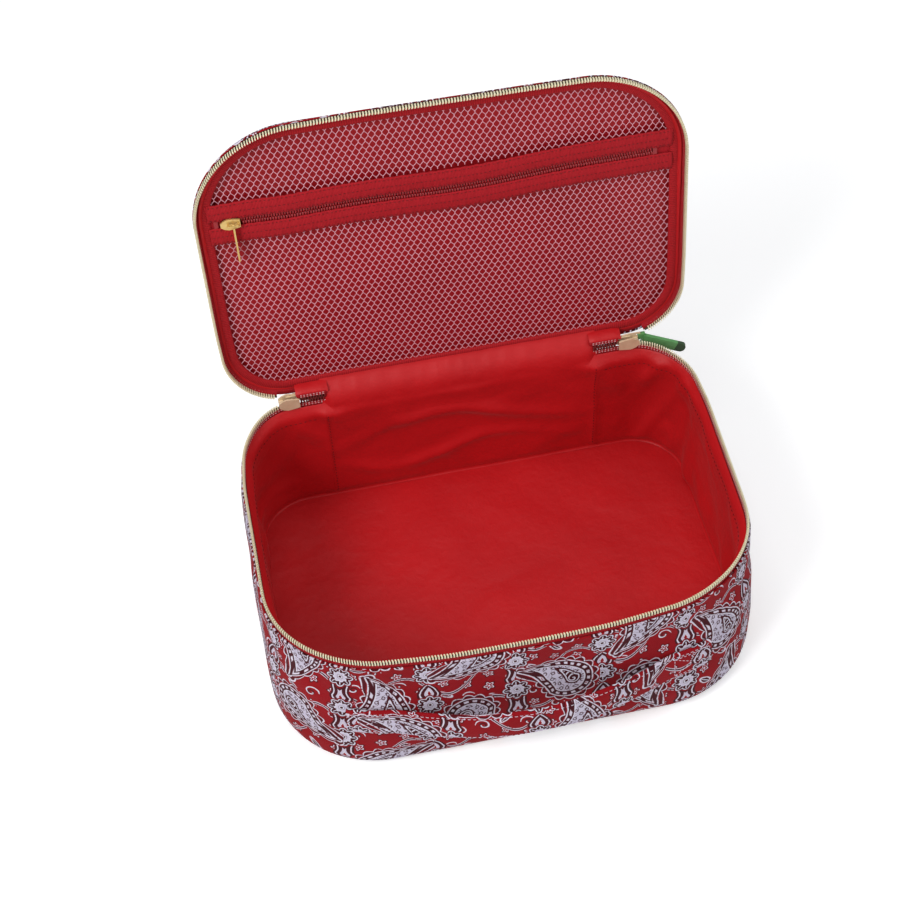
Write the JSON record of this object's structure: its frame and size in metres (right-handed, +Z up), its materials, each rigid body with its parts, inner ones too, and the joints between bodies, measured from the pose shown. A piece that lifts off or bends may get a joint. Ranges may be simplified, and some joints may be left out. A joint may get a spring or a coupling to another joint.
{
  "type": "padded tile bag",
  "caption": "Soft padded tile bag with a hinged lid, a zip round the rim with two sliders, a net pocket with its own zip in the lid and a sewn strap handle.",
  "frame": {"origin": "middle of the base, on the surface that the bag stands on", "axes": "+Z up, +X to the right of someone who faces the front handle, -Y the front; the lid stands open"},
  "size_m": [0.28, 0.2514, 0.2898],
  "materials": {
    "binding": "ribbed tape",
    "board": "plain stiffening board",
    "chain": "moulded",
    "coil": "coil",
    "foam": "soft sheet foam",
    "gold": "plated",
    "green_end": "soft moulded",
    "green_strap": "soft moulded",
    "net": "knitted net",
    "printed_fabric": "printed cotton weave",
    "satin_lining": "soft satin",
    "slider_metal": "plated",
    "strap_fabric": "printed cotton weave, doubled",
    "teeth": "moulded",
    "zip_tape": "woven tape"
  },
  "bodies": {
    "bag": {"back_lining": "satin_lining", "back_padding": "foam", "back_panel": "printed_fabric", "base_board": "board", "base_lining": "satin_lining", "base_panel": "printed_fabric", "front_handle": "strap_fabric", "hinge_leaf_lower": "printed_fabric", "left_chain_end": "chain", "left_tape_end": "zip_tape", "lower_zip_tape": "zip_tape", "lower_zip_teeth": "teeth", "right_chain_end": "chain", "right_tape_end": "zip_tape", "side_lining": "satin_lining", "side_padding": "foam", "side_panel": "printed_fabric"},
    "lid": {"hinge_leaf_upper": "printed_fabric", "lid_gusset": "printed_fabric", "lid_top_panel": "printed_fabric", "lid_padding": "foam", "lid_board": "board", "lid_lining": "satin_lining", "gusset_padding": "foam", "gusset_lining": "satin_lining", "upper_zip_tape": "zip_tape", "upper_zip_teeth": "teeth", "lid_binding": "binding", "mesh_upper": "net", "mesh_lower": "net", "pocket_tape_upper": "zip_tape", "pocket_tape_lower": "zip_tape", "pocket_coil": "coil", "pocket_stops": "coil"},
    "left_slider": {"left_slider": "slider_metal"},
    "left_pull": {"left_pull_link": "slider_metal", "left_pull_strap": "green_strap", "left_pull_end": "green_end"},
    "right_slider": {"right_slider": "slider_metal"},
    "right_pull": {"right_pull_link": "slider_metal", "right_pull_strap": "green_strap", "right_pull_end": "green_end"},
    "pocket_slider": {"pocket_slider": "gold"},
    "pocket_pull": {"pocket_pull": "gold"}
  },
  "joints": [
    {"name": "lid_hinge", "type": "hinge", "parent": "bag", "child": "lid", "pos_m": [0, 0.097, 0.098], "axis": [1, 0, 0], "range_deg": [-32, 98]},
    {"name": "left_zip_slide", "type": "slide", "parent": "bag", "child": "left_slider", "axis": [1, 0, 0], "range_m": [0, 0.008]},
    {"name": "left_pull_swing", "type": "hinge", "parent": "left_slider", "child": "left_pull", "pos_m": [-0.10085, 0.0986, 0.098], "axis": [0, 0, 1], "range_deg": [0, 11]},
    {"name": "right_zip_slide", "type": "slide", "parent": "bag", "child": "right_slider", "axis": [-1, 0, 0], "range_m": [0, 0.008]},
    {"name": "right_pull_swing", "type": "hinge", "parent": "right_slider", "child": "right_pull", "pos_m": [0.10415, 0.0986, 0.098], "axis": [0, 0, 1], "range_deg": [0, 16]},
    {"name": "pocket_zip_slide", "type": "slide", "parent": "lid", "child": "pocket_slider", "axis": [1, 0, 0], "range_m": [0, 0.232]},
    {"name": "pocket_pull_swing", "type": "hinge", "parent": "pocket_slider", "child": "pocket_pull", "pos_m": [-0.1175, 0.11729, 0.22945], "axis": [-1, 0, 0], "range_deg": [0, 150]}
  ]
}
